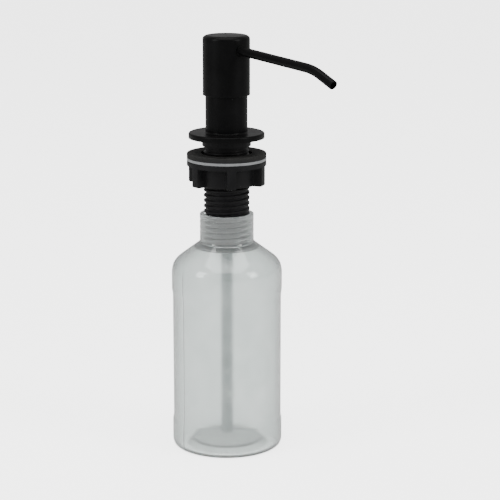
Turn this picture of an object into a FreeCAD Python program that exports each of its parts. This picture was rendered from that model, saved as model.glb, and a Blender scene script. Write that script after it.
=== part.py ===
import FreeCAD, Part
import math
import os

import Sketcher

# A built-in detergent dispenser: a pump head and spout above a sink deck, and a
# screw-on bottle below it. Millimetres. The origin is on the axis of the pump,
# level with the top of the deck; +Z is up and the spout points along -Y.
#
# Everything but the spout, the nut's lugs and the cut end of the dip tube is
# turned about the Z axis, so most outlines below are lists of (radius, height).

Vector = FreeCAD.Vector

DIMENSIONS = [
    # overall sizes
    ("neck_top", 29.0, "top of the collar's neck above the deck"),
    ("spout_reach", 90.0, "from the axis to the centre of the spout's mouth"),
    ("flange_diameter", 42.0, "outside of the collar's flange"),
    ("stroke", 13.0, "travel of the pump"),
    ("shank_length", 58.0, "shank below the top of the deck"),
    ("bottle_diameter", 62.0, "body of the bottle"),
    ("bottle_height", 134.0, "bottle, with its neck"),
    # clearances that more than one fit uses
    ("running_clearance", 0.1, "round parts that slide, turn or lift out"),
    ("valve_clearance", 0.05, "between a ball or an O-ring and its seat"),
    ("end_clearance", 0.2, "between faces that stop each other"),
    # the pump barrel and its valve
    ("barrel_bore", 12.0, "pump barrel"),
    ("barrel_wall", 1.2, "pump barrel"),
    ("spring_pressed", 11.0, "room left for the spring when the pump is down"),
    ("housing_flange_width", 0.9, "flange of the pump housing"),
    ("housing_flange_height", 1.8, "flange of the pump housing"),
    ("inlet_ball_diameter", 6.0, "ball of the inlet valve"),
    ("inlet_travel", 2.0, "rise of the inlet ball"),
    ("inlet_cage_room", 0.6, "round the inlet ball"),
    ("inlet_lip_bite", 0.4, "lip that keeps the ball down"),
    ("inlet_lip_height", 3.3, "lip that keeps the ball down"),
    ("inlet_seat_height", 2.5, "conical seat"),
    ("inlet_port_diameter", 4.0, "bore under the seat"),
    ("tail_wall", 1.3, "wall round the inlet valve"),
    ("tube_diameter", 6.4, "dip tube"),
    ("tube_wall", 1.0, "dip tube"),
    ("tube_socket_roof", 1.0, "between the dip tube and the seat"),
    ("tube_socket_depth", 9.5, "dip tube inside the housing"),
    ("tube_floor_gap", 1.8, "dip tube above the bottle's floor"),
    ("tube_cut", 2.6, "height of the slanting cut on the tube"),
    # the plunger
    ("stem_bore", 4.0, "pump stem"),
    ("stem_wall", 1.5, "pump stem"),
    ("stem_engagement", 2.0, "stem inside the wide part of the core"),
    ("seat_flange", 1.2, "flange of the spring seat"),
    ("seat_nose", 3.0, "nose of the spring seat inside the spring"),
    ("seat_plug", 3.8, "plug of the spring seat inside the stem"),
    ("seat_wall", 0.7, "wall of that plug"),
    ("piston_clearance", 0.05, "between piston and barrel"),
    ("piston_length", 8.2, "piston"),
    ("piston_lip", 1.2, "each sealing lip"),
    ("piston_waist", 0.65, "depth of the waist between the lips"),
    ("spring_room", 0.95, "between spring and barrel"),
    ("spring_wire", 0.9, "return spring"),
    ("spring_turns", 8, "return spring"),
    ("guide_length", 9.3, "stem guide inside the barrel"),
    ("guide_flange", 0.6, "flange of the stem guide"),
    # the closure that hangs in the neck
    ("closure_wall", 1.9, "closure round the housing's flange"),
    ("closure_skirt", 4.6, "closure below the housing's flange"),
    ("closure_floor", 2.5, "floor between the well and the housing"),
    ("well_depth", 8.4, "well that takes the hub of the head"),
    ("rim_thickness", 1.4, "rim of the closure on top of the neck"),
    ("rim_inset", 0.3, "rim inside the neck's outer edge"),
    ("ring_groove_width", 1.6, "groove for the closure's O-ring"),
    ("ring_groove_depth", 1.2, "groove for the closure's O-ring"),
    ("ring_section", 1.1, "thickness of the closure's O-ring"),
    ("ring_below_rim", 4.0, "closure's O-ring below the neck's top"),
    # the head: hub, core, cap and outlet valve
    ("hub_wall", 3.0, "hub round the stem"),
    ("hub_clearance", 0.7, "between hub and well"),
    ("hub_gap", 1.0, "hub above the well's floor when the pump is down"),
    ("core_gap", 0.6, "core above the closure's rim when the pump is down"),
    ("outlet_ball_diameter", 4.5, "ball of the outlet valve"),
    ("outlet_travel", 1.5, "rise of the outlet ball"),
    ("outlet_cage_room", 0.65, "round the outlet ball"),
    ("spout_rise", 4.0, "spout's line above the end of the stem"),
    ("core_cover", 5.5, "core above the spout's line"),
    ("head_roof", 1.5, "top wall of the cap"),
    ("head_wall", 1.1, "side wall of the cap"),
    ("head_round", 2.5, "round on the cap's top edge"),
    ("skirt_gap", 0.3, "between the cap and the neck it slides over"),
    ("skirt_overlap", 5.0, "cap over the neck, at rest"),
    # the spout
    ("spout_diameter", 5.0, "outside of the spout tube"),
    ("spout_wall", 0.7, "wall of the spout tube"),
    ("spout_slope", 3.5, "fall of the straight run, in degrees"),
    ("spout_bend", 18.5, "extra fall after the bend, in degrees"),
    ("spout_bend_radius", 38.0, "centre line radius of the bend"),
    ("spout_tip", 11.0, "straight run after the bend"),
    ("spout_seat_wall", 1.7, "core between the outlet valve and the spout"),
    ("spout_ring_section", 1.0, "thickness of the O-ring round the spout"),
    # the collar and the gasket on the deck
    ("neck_wall", 1.4, "wall of the collar's neck"),
    ("gasket_thickness", 2.0, "deck gasket"),
    ("flange_lift", 0.3, "gap that the gasket keeps under the metal"),
    ("flange_roof", 1.4, "metal above the gasket"),
    ("flange_lip", 1.9, "metal round the gasket"),
    ("flange_round", 0.9, "round on the flange's top edge"),
    ("collar_fillet", 0.8, "fillet between flange and neck"),
    # the threaded shank
    ("shank_diameter", 25.4, "major diameter of the thread"),
    ("lift_clearance", 0.5, "between the shank's bore and what lifts out of it"),
    ("shoulder_step", 0.8, "plain shoulder that centres the shank in the deck"),
    ("shoulder_depth", 4.0, "shoulder below the top of the deck"),
    ("shank_head_step", 0.8, "head of the shank, inside the gasket"),
    ("spigot_gap", 0.5, "between the shank's spigot and the closure"),
    # the clamp under the deck
    ("deck_grip", 8.0, "thickness of deck that the clamp is set to"),
    ("washer_clearance", 0.4, "round the shoulder, the thread and the bottle's seal"),
    ("washer_width", 8.1, "rubber washer"),
    ("rubber_thickness", 2.5, "rubber washer"),
    ("friction_thickness", 1.5, "friction washer"),
    ("thread_clearance", 0.1, "round the shank's thread"),
    ("nut_height", 13.5, "mounting nut"),
    ("nut_flange", 3.0, "thickness of the nut's flange"),
    ("nut_wall", 4.2, "wall of the nut's hub"),
    ("nut_lug_width", 5.0, "each lug, for fingers or a spanner"),
    ("nut_lugs", 6, "number of lugs"),
    # the bottle and its seal
    ("bottle_wall", 1.3, "wall of the body"),
    ("bottle_engagement", 16.0, "bottle's neck on the shank"),
    ("bottle_neck_wall", 2.2, "wall of the neck"),
    ("bottle_shoulder_drop", 12.0, "height of the shoulder"),
    ("bottle_shoulder_round", 11.0, "round between shoulder and body"),
    ("bottle_heel_round", 4.0, "round between body and base"),
    ("bottle_base_ring", 9.0, "width of the ring the bottle stands on"),
    ("bottle_push_up", 3.0, "rise of the base inside that ring"),
    ("seal_thickness", 2.0, "seal between shank and bottle"),
    ("ledge_width", 2.8, "ledge in the neck that carries the seal"),
    ("ledge_thickness", 1.5, "ledge in the neck that carries the seal"),
]


class Size:
    """A size as a number and as the expression of sheet cells that gives it."""

    def __init__(self, number, text):
        self.number = float(number)
        self.text = text

    def __add__(self, other):
        other = as_size(other)
        return Size(self.number + other.number, f"({self.text} + {other.text})")

    def __sub__(self, other):
        other = as_size(other)
        return Size(self.number - other.number, f"({self.text} - {other.text})")

    def __mul__(self, other):
        other = as_size(other)
        return Size(self.number * other.number, f"{self.text} * {other.text}")

    def __truediv__(self, other):
        other = as_size(other)
        return Size(self.number / other.number, f"({self.text} / {other.text})")

    def __neg__(self):
        return Size(-self.number, f"(0 - {self.text})")


def as_size(value):
    return value if isinstance(value, Size) else Size(value, repr(value))


def root(size):
    return Size(math.sqrt(size.number), f"sqrt({size.text})")


def sine(angle):
    return Size(math.sin(math.radians(angle.number)), f"sin({angle.text})")


def cosine(angle):
    return Size(math.cos(math.radians(angle.number)), f"cos({angle.text})")


document = FreeCAD.newDocument("detergent_dispenser")
sheet = document.addObject("Spreadsheet::Sheet", "sizes")
for row, (alias, number, meaning) in enumerate(DIMENSIONS, start=1):
    sheet.set(f"A{row}", meaning)
    sheet.set(f"B{row}", str(number))
    sheet.setAlias(f"B{row}", alias)
document.recompute()

NOTHING = Size(0, "0")


def size(alias):
    """The sheet's cell of that name."""
    return Size(getattr(sheet, alias), f"sizes.{alias}")


def radius(alias):
    """Half of the sheet's cell of that name."""
    return size(alias) / 2


# Radii, from the stem outwards: each piece makes room for the one inside it.
stem_inside = radius("stem_bore")
stem_outside = stem_inside + size("stem_wall")
stem_hole = stem_outside + size("running_clearance")
hub_outside = stem_outside + size("hub_wall")
well_inside = hub_outside + size("hub_clearance")
barrel_inside = radius("barrel_bore")
barrel_outside = barrel_inside + size("barrel_wall")
housing_flange = barrel_outside + size("housing_flange_width")
socket_inside = housing_flange + size("running_clearance")
closure_outside = socket_inside + size("closure_wall")
neck_inside = closure_outside + size("running_clearance")
neck_outside = neck_inside + size("neck_wall")
skirt_inside = neck_outside + size("skirt_gap")
head_outside = skirt_inside + size("head_wall")
spring_middle = barrel_inside - size("spring_room") - radius("spring_wire")
spout_outside = radius("spout_diameter")
spout_inside = spout_outside - size("spout_wall")
tube_outside = radius("tube_diameter")

shank_inside = housing_flange + size("lift_clearance")
shank_outside = radius("shank_diameter")
shoulder_outside = shank_outside + size("shoulder_step")
shank_head = shoulder_outside + size("shank_head_step")
flange_outside = radius("flange_diameter")
gasket_inside = shank_head + size("end_clearance")
gasket_recess = flange_outside - size("flange_lip")
gasket_outside = gasket_recess - size("running_clearance")
rubber_inside = shoulder_outside + size("washer_clearance")
washer_outside = rubber_inside + size("washer_width")
thread_bore = shank_outside + size("thread_clearance")
bottle_outside = radius("bottle_diameter")
bottle_neck = thread_bore + size("bottle_neck_wall")

# Heights from the neck's top down: the pump hangs in the neck by its rim.
neck_top = size("neck_top")
rim_top = neck_top + size("rim_thickness")
well_floor = rim_top - size("well_depth")
socket_roof = well_floor - size("closure_floor")
housing_top = socket_roof - size("guide_flange")
housing_flange_bottom = housing_top - size("housing_flange_height")
closure_bottom = housing_flange_bottom - size("closure_skirt")
spigot_top = closure_bottom - size("spigot_gap")
guide_bottom = housing_top - size("guide_length")
piston_top = guide_bottom - size("end_clearance")
piston_bottom = piston_top - size("piston_length")
spring_top = piston_bottom - size("seat_flange")
barrel_floor = spring_top - size("stroke") - size("spring_pressed")

# Heights from the neck's top up: the head, clear of the rim when it is down.
skirt_bottom = neck_top - size("skirt_overlap")
core_bottom = rim_top + size("stroke") + size("core_gap")
hub_bottom = well_floor + size("stroke") + size("hub_gap")
stem_top = core_bottom + size("stem_engagement")
stem_stop = stem_top + size("end_clearance")
spout_height = stem_top + size("spout_rise")
core_top = spout_height + size("core_cover")
head_top = core_top + size("head_roof")

# Heights of what is on the deck and under it.
gasket_top = size("gasket_thickness")
flange_top = gasket_top + size("flange_roof")
shank_bottom = -size("shank_length")
washer_top = -size("deck_grip")
friction_top = washer_top - size("rubber_thickness")
nut_top = friction_top - size("friction_thickness")
nut_bottom = nut_top - size("nut_height")
bottle_top = shank_bottom + size("bottle_engagement")
bottle_bottom = bottle_top - size("bottle_height")
base_rise = bottle_bottom + size("bottle_push_up")
ledge_top = shank_bottom - size("seal_thickness")

# A ball under a lip narrower than itself, or on the rim of a tube, has its
# centre the third side of a right triangle away from that edge.
inlet_ball = radius("inlet_ball_diameter")
inlet_cage = inlet_ball + size("inlet_cage_room")
inlet_lip = inlet_ball - size("inlet_lip_bite")
inlet_port = radius("inlet_port_diameter")
lip_bottom = barrel_floor - size("inlet_lip_height")
lip_reach = root(inlet_ball * inlet_ball - inlet_lip * inlet_lip)
inlet_ball_height = lip_bottom - lip_reach - size("inlet_travel") - size("valve_clearance")
outlet_ball = radius("outlet_ball_diameter")
outlet_cage = outlet_ball + size("outlet_cage_room")
rim_reach = root(outlet_ball * outlet_ball - stem_inside * stem_inside)
outlet_ball_height = stem_top + rim_reach + size("valve_clearance")
outlet_top = outlet_ball_height + outlet_ball + size("outlet_travel")
outlet_roof = outlet_top + size("valve_clearance")

# A ball of radius r on a cone that widens from a port to the cage touches it
# where its centre is (r * slant - port * height) / width above the cone's foot.
seat_height = size("inlet_seat_height")
seat_width = inlet_cage - inlet_port
seat_slant = root(seat_width * seat_width + seat_height * seat_height)
ball_rest = (inlet_ball * seat_slant - inlet_port * seat_height) / seat_width
seat_bottom = inlet_ball_height - size("valve_clearance") - ball_rest
tube_top = seat_bottom - size("tube_socket_roof")

pieces = {}


def keep(name, made):
    """Name a finished sub-part and put it on the list of those to write."""
    made.Label = name
    pieces[name] = made
    return made


def new_body(name):
    return document.addObject("PartDesign::Body", f"{name}_body")


def sketch_on(body, role, name):
    """An empty sketch on one of the body's own origin planes."""
    sketch = body.newObject("Sketcher::SketchObject", name)
    plane = next(f for f in body.Origin.OriginFeatures if f.Role == role)
    sketch.AttachmentSupport = [(plane, "")]
    sketch.MapMode = "FlatFace"
    return sketch


def bind(sketch, constraint, value):
    """Add a constraint whose value comes from the sheet."""
    index = sketch.addConstraint(constraint)
    sketch.setExpression(f"Constraints[{index}]", value.text)


def pin(sketch, line, end, across, along):
    """Fix a point of a line at sheet-driven distances from the sketch's origin."""
    for kind, value in (("DistanceX", across), ("DistanceY", along)):
        bind(sketch, Sketcher.Constraint(kind, -1, 1, line, end, value.number), value)


def draw_outline(sketch, corners):
    """Join the corners with straight lines, round to the first again."""
    corners = [(as_size(across), as_size(along)) for across, along in corners]
    points = [Vector(across.number, along.number, 0) for across, along in corners]
    for start, end in zip(points, points[1:] + points[:1]):
        sketch.addGeometry(Part.LineSegment(start, end))
    for line, (across, along) in enumerate(corners):
        following = (line + 1) % len(corners)
        sketch.addConstraint(Sketcher.Constraint("Coincident", line, 2, following, 1))
        pin(sketch, line, 1, across, along)


def draw_circle(sketch, circle_radius):
    """A circle about the sketch's origin."""
    circle = sketch.addGeometry(
        Part.Circle(Vector(0, 0, 0), Vector(0, 0, 1), circle_radius.number)
    )
    sketch.addConstraint(Sketcher.Constraint("Coincident", circle, 3, -1, 1))
    radius_constraint = Sketcher.Constraint("Radius", circle, circle_radius.number)
    bind(sketch, radius_constraint, circle_radius)


def turn(name, outline):
    """A body turned about Z from an outline of (radius, height) corners."""
    body = new_body(name)
    sketch = sketch_on(body, "XZ_Plane", f"{name}_outline")
    draw_outline(sketch, outline)
    revolution = body.newObject("PartDesign::Revolution", f"{name}_turned")
    revolution.Profile = sketch
    revolution.ReferenceAxis = (sketch, ["V_Axis"])
    revolution.Angle = 360
    document.recompute()
    return keep(name, body)


def ring(name, inside, outside, bottom, top):
    """A plain turned ring."""
    corners = [(inside, bottom), (outside, bottom), (outside, top), (inside, top)]
    return turn(name, corners)


def dress_edge(body, kind, edge_radius, height, amount):
    """Fillet or chamfer the circle about Z at that radius and height."""
    names = []
    for index, edge in enumerate(body.Shape.Edges, start=1):
        box = edge.BoundBox
        level = abs(box.ZMin - height.number) < 1e-4 and box.ZLength < 1e-4
        if level and abs(box.XMax - edge_radius.number) < 1e-3:
            names.append(f"Edge{index}")
    if not names:
        raise RuntimeError(f"{body.Label}: no edge at {edge_radius.number}, {height.number}")
    base = body.Tip
    dressed = body.newObject(f"PartDesign::{kind}", f"{body.Label}_{kind.lower()}")
    dressed.Base = (base, names)
    field = "Radius" if kind == "Fillet" else "Size"
    setattr(dressed, field, as_size(amount).number)
    dressed.setExpression(field, as_size(amount).text)
    document.recompute()


def sketch_across_spout(body, name, distance):
    """A sketch square to the spout's straight run, that far out from the axis.

    Its origin is on the spout's line and its normal points out along the spout.
    """
    sketch = sketch_on(body, "XZ_Plane", name)
    slope = size("spout_slope")
    height = spout_height - distance * sine(slope)
    outward = distance * cosine(slope)
    sketch.AttachmentOffset = FreeCAD.Placement(
        Vector(0, height.number, outward.number),
        FreeCAD.Rotation(Vector(1, 0, 0), slope.number),
    )
    sketch.setExpression("AttachmentOffset.Base.y", height.text)
    sketch.setExpression("AttachmentOffset.Base.z", outward.text)
    sketch.setExpression("AttachmentOffset.Rotation.Angle", slope.text)
    return sketch


def bore_along_spout(body, name, start, end, hole_radius):
    """Cut a round hole along the spout's line, between two distances from the axis."""
    before = body.Shape.Volume
    sketch = sketch_across_spout(body, f"{name}_circle", start)
    draw_circle(sketch, hole_radius)
    pocket = body.newObject("PartDesign::Pocket", name)
    pocket.Profile = sketch
    pocket.Reversed = True
    pocket.Length = (end - start).number
    pocket.setExpression("Length", (end - start).text)
    document.recompute()
    if not body.Shape.Volume < before:
        raise RuntimeError(f"{name} cuts nothing")


def make_collar_and_gasket():
    """The metal collar, hollow under its flange for the gasket and the shank."""
    outline = [
        (neck_inside, gasket_top),
        (gasket_recess, gasket_top),
        (gasket_recess, size("flange_lift")),
        (flange_outside, size("flange_lift")),
        (flange_outside, flange_top),
        (neck_outside, flange_top),
        (neck_outside, neck_top),
        (neck_inside, neck_top),
    ]
    collar = turn("deck_collar", outline)
    dress_edge(collar, "Fillet", flange_outside, flange_top, size("flange_round"))
    dress_edge(collar, "Fillet", neck_outside, flange_top, size("collar_fillet"))
    ring("deck_gasket", gasket_inside, gasket_outside, NOTHING, gasket_top)


def make_shank():
    """The plastic shank: spigot and head in the collar, shoulder, and thread."""
    shoulder_bottom = -size("shoulder_depth")
    turn("threaded_shank", [
        (shank_inside, shank_bottom),
        (shank_outside, shank_bottom),
        (shank_outside, shoulder_bottom),
        (shoulder_outside, shoulder_bottom),
        (shoulder_outside, NOTHING),
        (shank_head, NOTHING),
        (shank_head, gasket_top),
        (neck_inside, gasket_top),
        (neck_inside, spigot_top),
        (shank_inside, spigot_top),
    ])


def make_clamp():
    """The washers and the nut that draw the collar down on the deck."""
    round_thread = shank_outside + size("washer_clearance")
    ring("rubber_washer", rubber_inside, washer_outside, friction_top, washer_top)
    ring("friction_washer", round_thread, washer_outside, nut_top, friction_top)

    hub = thread_bore + size("nut_wall")
    flange_bottom = nut_top - size("nut_flange")
    nut = turn("mounting_nut", [
        (thread_bore, nut_bottom),
        (hub, nut_bottom),
        (hub, flange_bottom),
        (washer_outside, flange_bottom),
        (washer_outside, nut_top),
        (thread_bore, nut_top),
    ])
    lug = sketch_on(nut, "XY_Plane", "nut_lug_outline")
    lug.AttachmentOffset = FreeCAD.Placement(
        Vector(0, 0, nut_bottom.number), FreeCAD.Rotation()
    )
    lug.setExpression("AttachmentOffset.Base.z", nut_bottom.text)
    root_inside = (thread_bore + hub) / 2
    side = size("nut_lug_width") / 2
    draw_outline(lug, [
        (root_inside, -side),
        (washer_outside, -side),
        (washer_outside, side),
        (root_inside, side),
    ])
    pad = nut.newObject("PartDesign::Pad", "nut_lug")
    pad.Profile = lug
    pad.Length = (flange_bottom - nut_bottom).number
    pad.setExpression("Length", (flange_bottom - nut_bottom).text)
    document.recompute()
    pattern = nut.newObject("PartDesign::PolarPattern", "nut_lugs")
    pattern.Originals = [pad]
    pattern.Axis = (lug, ["N_Axis"])
    pattern.Angle = 360
    pattern.setExpression("Occurrences", size("nut_lugs").text)
    nut.Tip = pattern
    document.recompute()


def make_bottle():
    """The bottle: threaded neck with a ledge, sloping shoulder, pushed-up base."""
    wall = size("bottle_wall")
    inside = bottle_outside - wall
    drop = size("bottle_shoulder_drop")
    ledge = thread_bore - size("ledge_width")
    ledge_bottom = ledge_top - size("ledge_thickness")
    shoulder_top = shank_bottom
    shoulder_bottom = shoulder_top - drop
    # The inner shoulder runs parallel to the outer one, a wall's thickness away.
    run = bottle_outside - bottle_neck
    slant = root(run * run + drop * drop)
    wall_down = wall * slant / run
    steepness = drop / run
    inner_bottom = shoulder_top - (inside - bottle_neck) * steepness - wall_down
    inner_start = bottle_neck + (shoulder_top - ledge_bottom - wall_down) / steepness
    ring_inside = bottle_outside - size("bottle_base_ring")
    push_inside = ring_inside - size("bottle_push_up")
    bottle = turn("bottle", [
        (NOTHING, base_rise),
        (push_inside, base_rise),
        (ring_inside, bottle_bottom),
        (bottle_outside, bottle_bottom),
        (bottle_outside, shoulder_bottom),
        (bottle_neck, shoulder_top),
        (bottle_neck, bottle_top),
        (thread_bore, bottle_top),
        (thread_bore, ledge_top),
        (ledge, ledge_top),
        (ledge, ledge_bottom),
        (inner_start, ledge_bottom),
        (inside, inner_bottom),
        (inside, bottle_bottom + wall),
        (ring_inside, bottle_bottom + wall),
        (push_inside, base_rise + wall),
        (NOTHING, base_rise + wall),
    ])
    shoulder_round = size("bottle_shoulder_round")
    heel_round = size("bottle_heel_round")
    dress_edge(bottle, "Fillet", bottle_outside, shoulder_bottom, shoulder_round)
    dress_edge(bottle, "Fillet", inside, inner_bottom, shoulder_round - wall)
    dress_edge(bottle, "Fillet", bottle_outside, bottle_bottom, heel_round)
    dress_edge(bottle, "Fillet", inside, bottle_bottom + wall, heel_round - wall)
    seal_outside = thread_bore - size("washer_clearance")
    ring("bottle_seal", ledge, seal_outside, ledge_top, shank_bottom)


def make_closure():
    """The closure that hangs in the neck by its rim, and its O-ring."""
    rim = neck_outside - size("rim_inset")
    groove_floor = closure_outside - size("ring_groove_depth")
    ring_height = neck_top - size("ring_below_rim")
    half_groove = size("ring_groove_width") / 2
    turn("pump_closure", [
        (well_inside, rim_top),
        (rim, rim_top),
        (rim, neck_top),
        (closure_outside, neck_top),
        (closure_outside, ring_height + half_groove),
        (groove_floor, ring_height + half_groove),
        (groove_floor, ring_height - half_groove),
        (closure_outside, ring_height - half_groove),
        (closure_outside, closure_bottom),
        (socket_inside, closure_bottom),
        (socket_inside, socket_roof),
        (stem_hole, socket_roof),
        (stem_hole, well_floor),
        (well_inside, well_floor),
    ])
    section = radius("ring_section")
    middle = groove_floor + section + size("valve_clearance")
    o_ring = document.addObject("Part::Torus", "closure_o_ring_torus")
    o_ring.setExpression("Radius1", middle.text)
    o_ring.setExpression("Radius2", section.text)
    o_ring.setExpression("Placement.Base.z", ring_height.text)
    keep("closure_o_ring", o_ring)


def make_housing():
    """The pump barrel with its valve cage and tail, and the guide in its mouth."""
    tail = inlet_cage + size("tail_wall")
    foot = barrel_floor - size("barrel_wall")
    turn("pump_housing", [
        (barrel_inside, housing_top),
        (housing_flange, housing_top),
        (housing_flange, housing_flange_bottom),
        (barrel_outside, housing_flange_bottom),
        (barrel_outside, foot),
        (tail, foot - (barrel_outside - tail)),
        (tail, tube_top - size("tube_socket_depth")),
        (tube_outside, tube_top - size("tube_socket_depth")),
        (tube_outside, tube_top),
        (inlet_port, tube_top),
        (inlet_port, seat_bottom),
        (inlet_cage, seat_bottom + seat_height),
        (inlet_cage, lip_bottom),
        (inlet_lip, lip_bottom),
        (inlet_lip, barrel_floor),
        (barrel_inside, barrel_floor),
    ])
    guide_outside = barrel_inside - size("running_clearance")
    turn("stem_guide", [
        (stem_hole, guide_bottom),
        (guide_outside, guide_bottom),
        (guide_outside, housing_top),
        (housing_flange, housing_top),
        (housing_flange, socket_roof),
        (stem_hole, socket_roof),
    ])


def make_dip_tube():
    """The dip tube, cut on a slant so that it can't seal against the floor."""
    wall = size("tube_wall")
    bottom = base_rise + size("bottle_wall") + size("tube_floor_gap")
    tube = ring("dip_tube", tube_outside - wall, tube_outside, bottom, tube_top)
    before = tube.Shape.Volume
    sketch = sketch_on(tube, "YZ_Plane", "slant_outline")
    beyond = tube_outside + wall
    draw_outline(sketch, [
        (-beyond, bottom - wall),
        (beyond, bottom - wall),
        (beyond, bottom + size("tube_cut")),
    ])
    slant = tube.newObject("PartDesign::Pocket", "slant_cut")
    slant.Profile = sketch
    slant.Type = "ThroughAll"
    slant.Midplane = True
    document.recompute()
    if not tube.Shape.Volume < before:
        raise RuntimeError("the dip tube's slant cuts nothing")


def make_spring():
    """The return spring, a chain of half rings.

    Each half ring is tilted so that it climbs half a pitch. Every other one is
    turned half round the axis with its tilt, so it starts where the last one ends.
    """
    wire = radius("spring_wire")
    lowest = barrel_floor + wire + size("valve_clearance")
    highest = spring_top - wire - size("valve_clearance")
    climb = (highest - lowest) / size("spring_turns") / 2
    half_climb = climb / 2
    ring_radius = root(spring_middle * spring_middle + half_climb * half_climb)
    tilt = Size(
        math.degrees(math.atan(half_climb.number / spring_middle.number)),
        f"atan({half_climb.text} / {spring_middle.text})",
    )
    sides = ([], [])
    for index in range(2 * int(sheet.spring_turns)):
        half = document.addObject("Part::Torus", f"spring_half_{index + 1}")
        half.setExpression("Radius1", ring_radius.text)
        half.setExpression("Radius2", wire.text)
        half.Angle3 = 180
        middle = lowest + climb * (index + 0.5)
        half.Placement = FreeCAD.Placement(
            Vector(0, 0, middle.number), FreeCAD.Rotation(Vector(0, 1, 0), tilt.number)
        )
        half.setExpression("Placement.Base.z", middle.text)
        half.setExpression("Placement.Rotation.Angle", tilt.text)
        sides[index % 2].append(half)
    near_side, far_side = sides
    turned = document.addObject("Part::Compound", "spring_far_side")
    turned.Links = far_side
    turned.Placement = FreeCAD.Placement(Vector(), FreeCAD.Rotation(Vector(0, 0, 1), 180))
    spring = document.addObject("Part::MultiFuse", "spring_chain")
    spring.Shapes = near_side + [turned]
    keep("return_spring", spring)


def make_plunger():
    """The stem, the piston on it, and the seat that the spring pushes."""
    ring("pump_stem", stem_inside, stem_outside, piston_bottom, stem_top)

    lips = barrel_inside - size("piston_clearance")
    waist = lips - size("piston_waist")
    lip = size("piston_lip")
    turn("piston", [
        (stem_outside, piston_bottom),
        (lips, piston_bottom),
        (lips, piston_bottom + lip),
        (waist, piston_bottom + lip * 2),
        (waist, piston_top - lip * 2),
        (lips, piston_top - lip),
        (lips, piston_top),
        (stem_outside, piston_top),
    ])

    port = stem_inside - size("seat_wall")
    nose = spring_middle - radius("spring_wire") - size("end_clearance")
    flange = spring_middle + radius("spring_wire") + size("end_clearance")
    turn("spring_seat", [
        (port, spring_top - size("seat_nose")),
        (nose, spring_top - size("seat_nose")),
        (nose, spring_top),
        (flange, spring_top),
        (flange, piston_bottom),
        (stem_inside, piston_bottom),
        (stem_inside, piston_bottom + size("seat_plug")),
        (port, piston_bottom + size("seat_plug")),
    ])


def make_ball(name, ball_radius, height):
    ball = document.addObject("Part::Sphere", f"{name}_sphere")
    ball.setExpression("Radius", ball_radius.text)
    ball.setExpression("Placement.Base.z", height.text)
    keep(name, ball)


def make_head():
    """The metal cap, the plastic core inside it, and the O-ring round the spout."""
    cap = turn("head_cap", [
        (skirt_inside, skirt_bottom),
        (head_outside, skirt_bottom),
        (head_outside, head_top),
        (NOTHING, head_top),
        (NOTHING, core_top),
        (skirt_inside, core_top),
    ])
    dress_edge(cap, "Fillet", head_outside, head_top, size("head_round"))
    beyond = head_outside + size("head_wall")
    seat = outlet_cage + size("spout_seat_wall")
    bore_along_spout(cap, "cap_spout_hole", seat, beyond, spout_outside)

    core = turn("head_core", [
        (stem_hole, hub_bottom),
        (hub_outside, hub_bottom),
        (hub_outside, core_bottom),
        (skirt_inside, core_bottom),
        (skirt_inside, core_top),
        (NOTHING, core_top),
        (NOTHING, outlet_roof),
        (outlet_cage, outlet_roof),
        (outlet_cage, stem_stop),
        (stem_hole, stem_stop),
    ])
    thickness = size("spout_ring_section")
    groove_start = seat + thickness
    groove_end = groove_start + thickness + size("end_clearance")
    groove_outside = spout_outside + thickness + size("valve_clearance") * 2
    bore_along_spout(core, "core_channel", NOTHING, seat, spout_inside)
    bore_along_spout(core, "core_socket", seat, beyond, spout_outside)
    bore_along_spout(core, "core_ring_groove", groove_start, groove_end, groove_outside)

    slope = size("spout_slope")
    middle = (groove_start + groove_end) / 2
    ring_middle = spout_outside + thickness / 2 + size("valve_clearance")
    outward = -(middle * cosine(slope))
    height = spout_height - middle * sine(slope)
    tilt = slope + 90
    o_ring = document.addObject("Part::Torus", "spout_o_ring_torus")
    o_ring.setExpression("Radius1", ring_middle.text)
    o_ring.setExpression("Radius2", (thickness / 2).text)
    o_ring.Placement = FreeCAD.Placement(
        Vector(0, outward.number, height.number),
        FreeCAD.Rotation(Vector(1, 0, 0), tilt.number),
    )
    o_ring.setExpression("Placement.Base.y", outward.text)
    o_ring.setExpression("Placement.Base.z", height.text)
    o_ring.setExpression("Placement.Rotation.Angle", tilt.text)
    keep("spout_o_ring", o_ring)


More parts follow.
